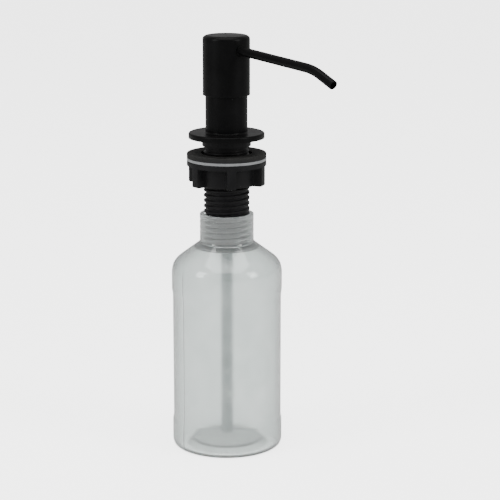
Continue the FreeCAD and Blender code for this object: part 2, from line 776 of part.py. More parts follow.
def make_spout():
    """The spout tube: a straight run, one gentle bend down and a short tip.

    Its path is drawn in a sketch turned so that the straight run lies on the
    sketch's own horizontal, where the bend and the tip are plain constraints.
    """
    slope = size("spout_slope")
    bend = size("spout_bend")
    bend_radius = size("spout_bend_radius")
    tip = size("spout_tip")
    fall = slope + bend
    seat = outlet_cage + size("spout_seat_wall")
    bend_reach = bend_radius * (sine(fall) - sine(slope))
    straight_end = (size("spout_reach") - bend_reach - tip * cosine(fall)) / cosine(slope)
    bend_end = straight_end + bend_radius * sine(bend)
    bend_drop = bend_radius - bend_radius * cosine(bend)
    tip_end = bend_end + tip * cosine(bend)
    tip_drop = bend_drop + tip * sine(bend)

    body = new_body("spout_tube")
    path = sketch_on(body, "YZ_Plane", "spout_path")
    path.AttachmentOffset = FreeCAD.Placement(
        Vector(0, spout_height.number, 0), FreeCAD.Rotation(Vector(0, 0, 1), slope.number)
    )
    path.setExpression("AttachmentOffset.Base.y", spout_height.text)
    path.setExpression("AttachmentOffset.Rotation.Angle", slope.text)
    start = Vector(-seat.number, 0, 0)
    bend_start = Vector(-straight_end.number, 0, 0)
    bend_finish = Vector(-bend_end.number, -bend_drop.number, 0)
    finish = Vector(-tip_end.number, -tip_drop.number, 0)
    centre = Vector(-straight_end.number, -bend_radius.number, 0)
    circle = Part.Circle(centre, Vector(0, 0, 1), bend_radius.number)
    upright = math.radians(90)
    sweep = math.radians(bend.number)
    run = path.addGeometry(Part.LineSegment(start, bend_start))
    arc = path.addGeometry(Part.ArcOfCircle(circle, upright, upright + sweep))
    last = path.addGeometry(Part.LineSegment(bend_finish, finish))
    pin(path, run, 1, -seat, NOTHING)
    pin(path, run, 2, -straight_end, NOTHING)
    pin(path, arc, 3, -straight_end, -bend_radius)
    path.addConstraint(Sketcher.Constraint("Coincident", arc, 1, run, 2))
    path.addConstraint(Sketcher.Constraint("Coincident", arc, 2, last, 1))
    bend_constraint = Sketcher.Constraint("DistanceX", -1, 1, last, 1, -bend_end.number)
    bind(path, bend_constraint, -bend_end)
    pin(path, last, 2, -tip_end, -tip_drop)

    section = sketch_across_spout(body, "spout_section", seat)
    draw_circle(section, spout_outside)
    draw_circle(section, spout_inside)
    pipe = body.newObject("PartDesign::AdditivePipe", "spout_swept")
    pipe.Profile = section
    pipe.Spine = (path, ["Edge1", "Edge2", "Edge3"])
    document.recompute()

    area = math.pi * (spout_outside.number**2 - spout_inside.number**2)
    run_length = straight_end.number - seat.number
    length = run_length + bend_radius.number * sweep + tip.number
    if abs(body.Shape.Volume - area * length) > 0.01 * area * length:
        raise RuntimeError("the spout's volume isn't its section times its length")
    keep("spout_tube", body)


make_collar_and_gasket()
make_shank()
make_clamp()
make_bottle()
make_closure()
make_housing()
make_dip_tube()
make_spring()
make_plunger()
make_ball("inlet_ball", inlet_ball, inlet_ball_height)
make_ball("outlet_ball", outlet_ball, outlet_ball_height)
make_head()
make_spout()
document.recompute()

for made in document.Objects:
    if "Invalid" in made.State or "Error" in made.State:
        raise RuntimeError(f"{made.Label} did not compute: {made.State}")
for name, made in pieces.items():
    if made.Shape.isNull() or not made.Shape.isValid():
        raise RuntimeError(f"{name} has no valid shape")

os.makedirs("parts", exist_ok=True)
for name, made in pieces.items():
    made.Shape.exportStep(f"parts/{name}.step")
    print(f"{name}: {made.Shape.Volume:.1f} mm3, {len(made.Shape.Solids)} solid(s)")
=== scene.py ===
import math

import bmesh
import bpy
import numpy as np
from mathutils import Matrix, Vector


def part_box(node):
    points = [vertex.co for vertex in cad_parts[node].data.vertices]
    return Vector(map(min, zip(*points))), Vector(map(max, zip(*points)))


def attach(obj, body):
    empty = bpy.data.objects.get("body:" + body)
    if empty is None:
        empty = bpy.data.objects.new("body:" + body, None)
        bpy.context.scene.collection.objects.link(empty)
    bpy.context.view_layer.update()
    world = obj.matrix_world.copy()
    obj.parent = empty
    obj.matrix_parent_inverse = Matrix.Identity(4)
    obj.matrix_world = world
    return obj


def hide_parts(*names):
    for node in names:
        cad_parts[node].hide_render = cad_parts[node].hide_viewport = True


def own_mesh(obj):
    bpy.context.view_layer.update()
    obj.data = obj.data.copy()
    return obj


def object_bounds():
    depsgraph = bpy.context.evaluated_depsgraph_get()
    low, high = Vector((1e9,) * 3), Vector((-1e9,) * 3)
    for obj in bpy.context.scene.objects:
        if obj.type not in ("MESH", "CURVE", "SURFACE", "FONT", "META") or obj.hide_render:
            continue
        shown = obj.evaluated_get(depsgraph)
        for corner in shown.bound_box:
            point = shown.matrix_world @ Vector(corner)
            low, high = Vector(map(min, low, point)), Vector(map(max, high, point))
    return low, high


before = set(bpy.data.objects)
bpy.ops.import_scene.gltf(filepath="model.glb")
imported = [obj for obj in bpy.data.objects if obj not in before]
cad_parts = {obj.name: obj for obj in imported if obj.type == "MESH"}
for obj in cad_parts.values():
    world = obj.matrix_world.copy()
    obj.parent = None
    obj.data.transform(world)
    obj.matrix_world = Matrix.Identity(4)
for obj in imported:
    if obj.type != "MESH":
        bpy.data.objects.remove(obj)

# A built-in detergent dispenser: coated metal above the deck, moulded plastic and a
# translucent bottle below it. Shapes are worked out in millimetres, in the frame's
# own axes, and scaled to metres where the mesh is made. The third number of a corner
# in an outline is the radius that rounds it.

cad_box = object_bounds()

MM = 0.001
FULL_TURN = 2 * np.pi

# ---------------------------------------------------------------- sizes in mm
PITCH = 3.0
SHANK_RADIUS = 12.7
SHANK_END = -58.0
THREAD_DEPTH = 1.1
THREAD_FLANK = 0.2
THREAD_PLAY = 0.1
BLOWN_DEPTH = 0.5
BLOWN_FLANK = 0.4

GASKET_TOP = 2.0
BARREL_FLOOR = -24.0

SPOUT_HEIGHT = 50.0
SPOUT_SLOPE = math.radians(3.5)
SPOUT_BEND = math.radians(18.5)
SPOUT_BEND_RADIUS = 38.0
SPOUT_TIP = 11.0
SPOUT_SEAT = 4.6
SPOUT_WALL = 0.7

WIRE = 0.45
COIL = 4.6
COIL_TURNS = 8

# ---------------------------------------------------------------- meshes
WELD = 1e-7
SHARP = math.radians(40)
ON_WALL = 0.01


def unit(vectors):
    """Each row divided by its length; a row of no length stays zero."""
    length = np.linalg.norm(vectors, axis=1, keepdims=True)
    return vectors / np.maximum(length, 1e-9)


def extent(node):
    """(largest radius, lowest height, highest height) of a node, in mm."""
    low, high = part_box(node)
    return high.x / MM, low.z / MM, high.z / MM


def smooth(low, high, value):
    """0 below low, 1 above high, 3t^2 - 2t^3 of the share t of the way between."""
    share = np.clip((value - low) / (high - low), 0, 1)
    return share * share * (3 - 2 * share)


def smooth_min(a, b, width):
    """The lesser of a and b, with the corner between them rounded over width."""
    share = np.clip(0.5 + 0.5 * (b - a) / width, 0, 1)
    return b + (a - b) * share - width * share * (1 - share)


def tooth(height, angle, flank=THREAD_FLANK):
    """1 on the crest and 0 in the root of a right-handed thread.

    The crest rises one pitch a turn. A flank is a smooth step of the distance from
    the middle of the root, as a share of half a pitch: flank each side of a half.
    """
    share = np.mod(height / PITCH - angle / FULL_TURN, 1.0)
    return smooth(0.5 - flank, 0.5 + flank, np.abs(2 * share - 1))


def even_angles(count):
    """Angles of a whole turn in equal steps, from zero."""
    return np.arange(count) * FULL_TURN / count


def angles_round(count, places, half_width, extra):
    """Even angles, with extra ones within half_width of each of the places."""
    fine = [np.linspace(p - half_width, p + half_width, extra) for p in places]
    every = np.mod(np.concatenate([even_angles(count)] + fine), FULL_TURN)
    return np.unique(np.round(every, 6))


def rounded(corners, gap=1.5, closed=True, steps=7):
    """An outline through (radius, height, round) corners.

    A corner of angle A becomes an arc that starts round / tan(A / 2) along either
    side, about a point round / sin(A / 2) along the middle of the angle. Straight
    runs are then divided into equal steps no longer than gap. The two ends of an open
    outline are not rounded.
    """
    table = np.array([(tuple(c) + (0.0,))[:3] for c in corners], float)
    place, bend = table[:, :2], table[:, 2:]
    if not closed:
        bend[[0, -1]] = 0
    sides = [np.roll(place, 1, 0) - place, np.roll(place, -1, 0) - place]
    back, on = [unit(side) for side in sides]
    half = np.arccos(np.clip((back * on).sum(1, keepdims=True), -1, 1)) / 2
    middle = unit(back + on)
    half = np.maximum(half, 1e-6)
    centre = place + middle * bend / np.sin(half)
    first = place + back * bend / np.tan(half) - centre
    last = place + on * bend / np.tan(half) - centre
    sweep = np.pi - 2 * half
    share = np.linspace(0, 1, steps)[None, :, None]
    under = np.maximum(np.sin(sweep), 1e-9)[:, None]
    arc = (
        np.sin((1 - share) * sweep[:, None]) * first[:, None]
        + np.sin(share * sweep[:, None]) * last[:, None]
    ) / under + centre[:, None]
    points = arc.reshape(-1, 2)
    points = points[np.r_[True, np.linalg.norm(np.diff(points, axis=0), axis=1) > 1e-6]]
    following = np.roll(points, -1, 0) if closed else np.r_[points[1:], points[-1:]]
    length = np.linalg.norm(following - points, axis=1)
    parts = np.maximum(np.ceil(length / gap), 1).astype(int)
    which = np.repeat(np.arange(len(points)), parts)
    start = np.repeat(np.cumsum(parts) - parts, parts)
    along = (np.arange(parts.sum()) - start) / np.repeat(parts, parts)
    return points[which] + along[:, None] * (following - points)[which]


def upright(distance):
    """The pump's own axis, with X and Y across it."""
    centre = np.stack([0 * distance, 0 * distance, distance], -1)
    return centre, np.array([1.0, 0, 0]), np.array([0, 1.0, 0])


def carried(name, outline, line=upright, angles=None, closed=True, shape=None):
    """A piece from an outline of (radius, distance) carried round a line.

    point = line(distance) + radius * (cos(angle) * across + sin(angle) * aside).
    shape may change radius and distance as a function of both and the angle.
    """
    angles = even_angles(160) if angles is None else angles
    rows, columns = len(outline), len(angles)
    angle = np.broadcast_to(angles, (rows, columns))
    radius = np.repeat(outline[:, :1], columns, 1)
    distance = np.repeat(outline[:, 1:], columns, 1)
    if shape is not None:
        radius, distance = shape(radius, distance, angle)
    centre, across, aside = line(distance)
    turned = np.cos(angle)[..., None] * across + np.sin(angle)[..., None] * aside
    points = (centre + radius[..., None] * turned) * MM
    number = np.arange(rows * columns).reshape(rows, columns)
    below = number if closed else number[:-1]
    above = np.roll(number, -1, 0) if closed else number[1:]
    quads = np.stack([below, np.roll(below, -1, 1), np.roll(above, -1, 1), above], -1)
    return solid(name, points.reshape(-1, 3), quads.reshape(-1, 4))


def solid(name, points, faces):
    """An object from points and faces, seams and poles closed, faces outwards."""
    mesh = bpy.data.meshes.new(name)
    mesh.from_pydata(points.tolist(), [], faces.tolist())
    work = bmesh.new()
    work.from_mesh(mesh)
    bmesh.ops.remove_doubles(work, verts=work.verts, dist=WELD)
    bmesh.ops.dissolve_degenerate(work, edges=work.edges, dist=WELD / 10)
    bmesh.ops.recalc_face_normals(work, faces=work.faces)
    work.to_mesh(mesh)
    work.free()
    mesh.shade_smooth()
    mesh.set_sharp_from_angle(angle=SHARP)
    piece = bpy.data.objects.new(name, mesh)
    bpy.context.scene.collection.objects.link(piece)
    return piece


def place(piece, body, node, slot, material):
    """Give a piece its material and its body, in the stead of the CAD node."""
    piece.data.materials.append(material)
    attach(piece, body)
    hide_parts(node)
    return piece


# ---------------------------------------------------------------- shared effects
DUST_COLOUR = (0.46, 0.45, 0.43)
DUST_ROUGHNESS = 0.4
RELIEF = 0.0001


def new_group(name, inputs, outputs):
    """A node group with named sockets, and its group input and output nodes."""
    group = bpy.data.node_groups.new(name, "ShaderNodeTree")
    new_socket, kind = group.interface.new_socket, "NodeSocketFloat"
    for socket, value in inputs:
        new_socket(socket, in_out="INPUT", socket_type=kind).default_value = value
    for socket in outputs:
        new_socket(socket, in_out="OUTPUT", socket_type=kind)
    given = group.nodes.new("NodeGroupInput")
    result = group.nodes.new("NodeGroupOutput")
    return group, given, result


def maths(tree, operation, first, second):
    """A Math node on two sockets or numbers."""
    node = tree.nodes.new("ShaderNodeMath")
    node.operation = operation
    for socket, value in zip(node.inputs, (first, second)):
        if isinstance(value, (int, float)):
            socket.default_value = value
        else:
            tree.links.new(value, socket)
    return node.outputs[0]


def remap(tree, value, low, high, out_low=0.0, out_high=1.0):
    """A clamped Map Range node."""
    node = tree.nodes.new("ShaderNodeMapRange")
    tree.links.new(value, node.inputs["Value"])
    for socket, number in zip(("From Min", "From Max", "To Min", "To Max"),
                              (low, high, out_low, out_high)):
        node.inputs[socket].default_value = number
    return node.outputs["Result"]


def noise(tree, scale, detail):
    """Noise on Object coordinates; scale is a number or a socket, per metre."""
    where = tree.nodes.new("ShaderNodeTexCoord").outputs["Object"]
    node = tree.nodes.new("ShaderNodeTexNoise")
    node.inputs["Detail"].default_value = detail
    tree.links.new(where, node.inputs["Vector"])
    if isinstance(scale, (int, float)):
        node.inputs["Scale"].default_value = scale
    else:
        tree.links.new(scale, node.inputs["Scale"])
    return node.outputs["Fac"]


def make_grain():
    """Fine grain of a coated or moulded surface: small pits over slow waves."""
    group, given, result = new_group(
        "surface_grain", [("Scale", 3000.0), ("Waves", 120.0)], ["Height", "Cloud"]
    )
    fine = noise(group, given.outputs["Scale"], 2.0)
    slow = noise(group, given.outputs["Waves"], 3.0)
    height = maths(group, "ADD", fine, maths(group, "MULTIPLY", slow, 0.6))
    group.links.new(height, result.inputs["Height"])
    group.links.new(remap(group, slow, 0.3, 0.7), result.inputs["Cloud"])
    return group


def make_edge_wear():
    """Where edges are rubbed: the bent normal leaves the true one, broken by noise."""
    group, given, result = new_group(
        "edge_wear", [("Width", 0.0004), ("Amount", 1.0)], ["Mask"]
    )
    bevel = group.nodes.new("ShaderNodeBevel")
    bevel.samples = 4
    group.links.new(given.outputs["Width"], bevel.inputs["Radius"])
    true = group.nodes.new("ShaderNodeNewGeometry")
    dot = group.nodes.new("ShaderNodeVectorMath")
    dot.operation = "DOT_PRODUCT"
    group.links.new(bevel.outputs["Normal"], dot.inputs[0])
    group.links.new(true.outputs["Normal"], dot.inputs[1])
    edge = remap(group, dot.outputs["Value"], 0.995, 0.90)
    patches = remap(group, noise(group, 900.0, 4.0), 0.42, 0.62)
    broken = maths(group, "MULTIPLY", edge, patches)
    mask = maths(group, "MULTIPLY", broken, given.outputs["Amount"])
    group.links.new(mask, result.inputs["Mask"])
    return group


def make_dust():
    """Dust that settles on what faces up, in soft patches."""
    group, given, result = new_group("settled_dust", [("Amount", 0.3)], ["Mask"])
    facing = group.nodes.new("ShaderNodeNewGeometry")
    split = group.nodes.new("ShaderNodeSeparateXYZ")
    group.links.new(facing.outputs["Normal"], split.inputs[0])
    up = remap(group, split.outputs["Z"], 0.35, 1.0)
    patches = remap(group, noise(group, 260.0, 5.0), 0.35, 0.75)
    settled = maths(group, "MULTIPLY", up, patches)
    dust = maths(group, "MULTIPLY", settled, given.outputs["Amount"])
    group.links.new(dust, result.inputs["Mask"])
    return group


GRAIN, WEAR, DUST = make_grain(), make_edge_wear(), make_dust()


def use(tree, group, **values):
    """A group node with its own values."""
    node = tree.nodes.new("ShaderNodeGroup")
    node.node_tree = group
    for socket, value in values.items():
        node.inputs[socket].default_value = value
    return node


def blend_colours(tree, mask, first, second):
    """A colour mix; either colour may be a socket."""
    node = tree.nodes.new("ShaderNodeMix")
    node.data_type = "RGBA"
    tree.links.new(mask, node.inputs["Factor"])
    for socket, value in ((node.inputs[6], first), (node.inputs[7], second)):
        if isinstance(value, tuple):
            socket.default_value = value + (1.0,)
        else:
            tree.links.new(value, socket)
    return node.outputs[2]


def finish_of(
    name, dark, light, rough, grain, bump, waves=120.0, wear=None, dust=0.0, **fixed
):
    """A material: two tones in slow clouds, rubbed edges, dust, grain and bump.

    rough is the roughness between clouds and on them; grain and waves are the noise
    scales of the fine grain and the clouds, bump the strength of both; wear is
    (colour, amount) and fixed holds constants of the shader's own sockets.
    """
    material = bpy.data.materials.new(name)
    material.use_nodes = True
    tree = material.node_tree
    shader = tree.nodes["Principled BSDF"]
    for socket, value in fixed.items():
        shader.inputs[socket.replace("_", " ")].default_value = value
    texture = use(tree, GRAIN, Scale=grain, Waves=waves)
    colour = blend_colours(tree, texture.outputs["Cloud"], dark, light)
    roughness = remap(tree, texture.outputs["Cloud"], 0.0, 1.0, *rough)
    if wear is not None:
        rubbed = use(tree, WEAR, Amount=wear[1]).outputs["Mask"]
        colour = blend_colours(tree, rubbed, colour, wear[0])
    if dust:
        settled = use(tree, DUST, Amount=dust).outputs["Mask"]
        colour = blend_colours(tree, settled, colour, DUST_COLOUR)
        duller = maths(tree, "MULTIPLY", settled, DUST_ROUGHNESS)
        roughness = maths(tree, "ADD", roughness, duller)
    tree.links.new(colour, shader.inputs["Base Color"])
    tree.links.new(roughness, shader.inputs["Roughness"])
    relief = tree.nodes.new("ShaderNodeBump")
    relief.inputs["Strength"].default_value = bump
    relief.inputs["Distance"].default_value = RELIEF
    tree.links.new(texture.outputs["Height"], relief.inputs["Height"])
    tree.links.new(relief.outputs["Normal"], shader.inputs["Normal"])
    return material


# ---------------------------------------------------------------- materials
coated_metal = finish_of(
    "coated_metal", (0.0018, 0.0018, 0.0019), (0.0031, 0.0031, 0.0033),
    rough=(0.30, 0.38), grain=4200.0, bump=0.10,
    wear=((0.012, 0.012, 0.0127), 0.35), dust=0.003, Specular_IOR_Level=0.058,
)
moulded_plastic = finish_of(
    "moulded_plastic", (0.0045, 0.0045, 0.0048), (0.008, 0.008, 0.0085),
    rough=(0.40, 0.52), grain=2600.0, bump=0.22,
    wear=((0.022, 0.022, 0.0235), 0.5), dust=0.006, Specular_IOR_Level=0.10,
)
washer_plastic = finish_of(
    "washer_plastic", (0.15, 0.155, 0.16), (0.21, 0.215, 0.22),
    rough=(0.38, 0.50), grain=2200.0, bump=0.12,
    wear=((0.32, 0.33, 0.34), 0.4), dust=0.05,
)
pump_plastic = finish_of(
    "pump_plastic", (0.50, 0.51, 0.49), (0.60, 0.605, 0.585),
    rough=(0.26, 0.36), grain=1800.0, bump=0.06,
    Subsurface_Weight=0.35, Subsurface_Scale=0.002,
)
tube_plastic = finish_of(
    "tube_plastic", (0.40, 0.44, 0.44), (0.50, 0.54, 0.54),
    rough=(0.20, 0.28), grain=1500.0, bump=0.04,
    Transmission_Weight=0.35, IOR=1.5,
)
bottle_plastic = finish_of(
    "bottle_plastic", (0.70, 0.745, 0.735), (0.79, 0.825, 0.815),
    rough=(0.15, 0.21), grain=1500.0, bump=0.04, waves=60.0,
    Transmission_Weight=0.90, IOR=1.5, Coat_Weight=0.4, Coat_Roughness=0.1,
)
dull_rubber = finish_of(
    "dull_rubber", (0.011, 0.011, 0.0107), (0.018, 0.018, 0.0176),
    rough=(0.74, 0.86), grain=3200.0, bump=0.35, dust=0.03, Specular_IOR_Level=0.12,
)
drawn_steel = finish_of(
    "drawn_steel", (0.50, 0.50, 0.49), (0.64, 0.64, 0.63),
    rough=(0.20, 0.30), grain=5200.0, bump=0.05, Metallic=1.0,
)

# ---------------------------------------------------------------- above the deck
spout_low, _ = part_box("spout_tube")
spout_outside = extent("spout_tube")[0]
fall = SPOUT_SLOPE + SPOUT_BEND
spout_reach = -spout_low.y / MM - spout_outside * math.sin(fall)
bend_reach = SPOUT_BEND_RADIUS * (math.sin(fall) - math.sin(SPOUT_SLOPE))
tip_reach = SPOUT_TIP * math.cos(fall)
bend_from = (spout_reach - bend_reach - tip_reach) / math.cos(SPOUT_SLOPE)
spout_end = bend_from + SPOUT_BEND_RADIUS * SPOUT_BEND + SPOUT_TIP


def spout_line(distance):
    """Straight out and gently down, round the bend, and straight again.

    With b the angle turned so far: out * run + radius * (sin b * out + (1 - cos b)
    * down), then on along cos b * out + sin b * down.
    """
    out = np.array([0, -math.cos(SPOUT_SLOPE), -math.sin(SPOUT_SLOPE)])
    down = np.array([0, math.sin(SPOUT_SLOPE), -math.cos(SPOUT_SLOPE)])
    run = np.minimum(distance, bend_from)[..., None]
    turned = (distance - bend_from) / SPOUT_BEND_RADIUS
    turned = np.clip(turned, 0, SPOUT_BEND)[..., None]
    rest = np.maximum(distance - spout_end + SPOUT_TIP, 0)[..., None]
    ahead = np.cos(turned) * out + np.sin(turned) * down
    round_bend = np.sin(turned) * out + (1 - np.cos(turned)) * down
    start = np.array([0, 0, SPOUT_HEIGHT])
    aside = np.sin(turned) * out - np.cos(turned) * down
    centre = start + run * out + SPOUT_BEND_RADIUS * round_bend + rest * ahead
    return centre, np.array([1.0, 0, 0]), aside


def make_spout():
    """A drawn tube with a softly rounded mouth."""
    inside, cut_edge, mouth_edge = spout_outside - SPOUT_WALL, 0.05, 0.33
    outline = rounded([
        (inside, SPOUT_SEAT, cut_edge), (spout_outside, SPOUT_SEAT, cut_edge),
        (spout_outside, spout_end, mouth_edge), (inside, spout_end, mouth_edge),
    ], gap=1.0)
    piece = carried("spout", outline, spout_line, even_angles(64))
    place(piece, "pump_head", "spout_tube", "black_metal", coated_metal)


def make_cap():
    """The cap: crowned top, rounded edge, and a fine groove round the spout."""
    outside, bottom, top = extent("head_cap")
    wall, lid, crown, round_top, edge = 1.1, 1.5, 0.25, 2.5, 0.3
    groove_depth, groove_middle, groove_width, fine_half = 0.12, 0.22, 0.20, 4.5
    inside, roof = outside - wall, top - lid
    exit_height = SPOUT_HEIGHT - outside * math.tan(SPOUT_SLOPE)
    low, high = exit_height - fine_half, exit_height + fine_half
    outline = np.concatenate([
        rounded([(0, top), (outside, top, round_top), (outside, high)],
                1.2, closed=False, steps=14),
        rounded([(outside, high), (outside, low)], 0.22, closed=False),
        rounded([
            (outside, low), (outside, bottom, edge), (inside, bottom, edge),
            (inside, roof, edge), (0, roof),
        ], 1.5, closed=False),
    ])

    def shape(radius, height, angle):
        """Crown falls with the square of the radius; the groove is a bell across
        the distance from the spout's edge, measured along the wall."""
        along = outside * (np.mod(angle + np.pi / 2 + np.pi, FULL_TURN) - np.pi)
        away = np.hypot(along, height - exit_height) - spout_outside
        on_wall = smooth(inside + 0.5, outside - 0.3, radius)
        bell = np.exp(-(((away - groove_middle) / groove_width) ** 2))
        in_lid = smooth(roof, top, height)
        fallen = height - crown * in_lid * (radius / outside) ** 2
        return radius - groove_depth * bell * on_wall, fallen

    angles = angles_round(192, [1.5 * np.pi], 0.34, 70)
    piece = carried("cap", outline, angles=angles, closed=False, shape=shape)
    place(piece, "pump_head", "head_cap", "black_metal", coated_metal)


def make_collar():
    """The flange and the neck that the cap slides over."""
    outside, bottom, top = extent("deck_collar")
    neck, wall, rim, flange_top = 11.6, 1.4, 1.9, 3.4
    bore = neck - wall
    outline = rounded([
        (bore, GASKET_TOP, 0.1), (outside - rim, GASKET_TOP, 0.1),
        (outside - rim, bottom, 0.15), (outside, bottom, 0.2),
        (outside, flange_top, 0.9), (neck, flange_top, 0.8),
        (neck, top, 0.35), (bore, top, 0.2),
    ], gap=1.2, steps=10)
    piece = carried("collar", outline, angles=even_angles(192))
    place(piece, "sink_fixture", "deck_collar", "black_metal", coated_metal)


# ---------------------------------------------------------------- under the deck
def make_shank():
    """The shank, with a right-handed thread that runs out at both ends."""
    _, bottom, top = extent("threaded_shank")
    bore, crest, shoulder, head = 8.6, SHANK_RADIUS, 13.5, 14.3
    shoulder_bottom, spigot = -4.0, 10.2
    thread_top = shoulder_bottom - 1.6
    root = crest - THREAD_DEPTH
    outline = np.concatenate([
        rounded([(bore, bottom), (crest, bottom)], 1.5, closed=False),
        rounded([(crest, bottom), (crest, shoulder_bottom)], 0.19, closed=False),
        rounded([
            (crest, shoulder_bottom), (shoulder, shoulder_bottom, 0.2), (shoulder, 0.0),
            (head, 0.0, 0.1), (head, GASKET_TOP, 0.2), (spigot, GASKET_TOP),
            (spigot, top, 0.3), (bore, top, 0.3), (bore, bottom),
        ], 1.5, closed=False),
    ])

    def shape(radius, height, angle):
        """root + depth * tooth, and root alone where the thread runs out."""
        full = smooth(bottom + 0.6, bottom + 2.6, height)
        full = full * (1 - smooth(thread_top - 1.6, thread_top, height))
        thread = root + THREAD_DEPTH * tooth(height, angle) * full
        cut = np.abs(radius - crest) < ON_WALL
        cut = cut & (height < shoulder_bottom - ON_WALL)
        return np.where(cut, thread, radius), height

    piece = carried("shank", outline, angles=even_angles(144), shape=shape)
    place(piece, "sink_fixture", "threaded_shank", "black_plastic", moulded_plastic)


def inner_thread(
    height, angle, low, high, major, depth=THREAD_DEPTH, flank=THREAD_FLANK
):
    """Bore of a piece on the shank, from low to high: major - depth * (1 - tooth),
    and major alone where the thread runs out at both ends."""
    start, end = 0.4, 1.8
    full = smooth(low + start, low + end, height)
    full = full * (1 - smooth(high - end, high - start, height))
    return major - depth * (1 - tooth(height, angle, flank)) * full


def make_nut():
    """The hand nut: flange, threaded hub and six softly edged lugs.

    Below the flange a ray at angle p from a lug's middle ends at the lug's side,
    half the width / sin p out, at its tip or at the hub, whichever applies.
    """
    outside, bottom, top = extent("mounting_nut")
    bore, hub, half_lug, lugs = SHANK_RADIUS + THREAD_PLAY, 17.0, 2.5, 6
    flange_bottom, corner, side_angle = top - 3.0, 0.9, 0.13
    outline = np.concatenate([
        rounded([
            (bore, bottom), (outside, bottom, 1.0), (outside, top, 0.6), (bore, top),
        ], 0.55, closed=False),
        rounded([(bore, top), (bore, bottom)], 0.22, closed=False),
    ])

    def shape(radius, height, angle):
        """The blank drawn in to the lugs and the hub below the flange."""
        sector = FULL_TURN / lugs
        off = np.mod(angle + sector / 2, sector) - sector / 2
        side = half_lug / np.maximum(np.abs(np.sin(off)), 0.02)
        lug = smooth_min(side, np.full_like(side, outside), corner)
        edge = -smooth_min(-lug, np.full_like(lug, -hub), corner)
        narrow = (edge - bore) / (outside - bore)
        in_flange = smooth(flange_bottom - 0.7, flange_bottom + 0.1, height)
        narrow = narrow + (1 - narrow) * in_flange
        outer = bore + (radius - bore) * np.minimum(narrow, 1.0)
        thread = inner_thread(height, angle, bottom, top, bore)
        return np.where(radius < bore + ON_WALL, thread, outer), height

    places = even_angles(lugs)
    sides = np.concatenate([places - side_angle, places + side_angle])
    angles = angles_round(144, sides, 0.045, 12)
    piece = carried("nut", outline, angles=angles, shape=shape)
    place(piece, "nut", "mounting_nut", "black_plastic", moulded_plastic)


def make_ring(name, node, body, inside, edge, slot, material):
    """A turned ring with softened edges."""
    outside, bottom, top = extent(node)
    outline = rounded([
        (inside, bottom, edge), (outside, bottom, edge),
        (outside, top, edge), (inside, top, edge),
    ], gap=1.5)
    place(carried(name, outline), body, node, slot, material)


def make_bottle():
    """The blow-moulded bottle: threaded neck, round shoulder, panel and base ring."""
    body, bottom, top = extent("bottle")
    wall, neck, bore, ledge = 1.3, 15.0, SHANK_RADIUS + THREAD_PLAY, 10.0
    ledge_top, ledge_bottom = SHANK_END - 2.0, SHANK_END - 3.5
    shoulder_bottom, neck_foot = SHANK_END - 12.0, SHANK_END + 3.0
    inner_bottom, inner_start = shoulder_bottom - 0.65, 17.5
    base_ring, push = body - 9.0, body - 12.0
    base_rise = bottom + 3.0
    panel_low, panel_high, panel_edge = bottom + 15.0, shoulder_bottom - 15.0, 2.5
    panel_depth, seam_depth, seam_width, ripple_depth = 0.5, 0.16, 0.45, 0.12
    outline = np.concatenate([
        rounded([
            (0, base_rise), (push, base_rise, 1.5), (base_ring, bottom, 1.0),
            (body, bottom, 4.0), (body, shoulder_bottom, 11.0), (neck, SHANK_END, 2.5),
            (neck, neck_foot),
        ], 1.6, closed=False, steps=10),
        rounded([
            (neck, neck_foot), (neck, top, 0.5), (bore, top, 0.3), (bore, ledge_top),
        ], 0.26, closed=False),
        rounded([
            (bore, ledge_top), (ledge, ledge_top, 0.2), (ledge, ledge_bottom, 0.3),
            (inner_start, ledge_bottom, 0.8), (body - wall, inner_bottom, 9.7),
            (body - wall, bottom + wall, 2.7), (base_ring, bottom + wall, 1.0),
            (push, base_rise + wall, 1.0), (0, base_rise + wall),
        ], 2.2, closed=False, steps=8),
    ])

    def shape(radius, height, angle):
        """Panel set in by half a millimetre, a fine parting line on both sides in
        the plane of X, and the thread inside the neck showing faintly outside."""
        panel = smooth(panel_low, panel_low + panel_edge, height)
        panel = panel * (1 - smooth(panel_high - panel_edge, panel_high, height))
        panel = panel * smooth(body - 6.0, body - 2.5, radius)
        seam = 1 - np.exp(-((radius * np.sin(angle) / seam_width) ** 2))
        seam = seam * smooth(body - 0.9, body - 0.4, radius)
        blown = radius - panel_depth * panel - seam_depth * seam
        ripple = smooth(neck_foot, neck_foot + 2.0, height)
        ripple = ripple * (1 - smooth(top - 3.0, top - 1.2, height))
        ripple = ripple * (1 - tooth(height, angle, BLOWN_FLANK))
        on_neck = (height > neck_foot + ON_WALL) & (height < top - 0.5)
        on_neck = on_neck & (np.abs(radius - neck) < ON_WALL)
        thread = inner_thread(
            height, angle, SHANK_END, top, bore, BLOWN_DEPTH, BLOWN_FLANK
        )
        on_bore = (np.abs(radius - bore) < ON_WALL) & (height > SHANK_END)
        result = np.where(on_neck, radius - ripple_depth * ripple, blown)
        return np.where(on_bore, thread, result), height

    angles = angles_round(180, [0.0, np.pi], 0.05, 16)
    piece = carried("bottle_shell", outline, angles=angles, closed=False, shape=shape)
    place(piece, "bottle_shell", "bottle", "bottle_plastic", bottle_plastic)


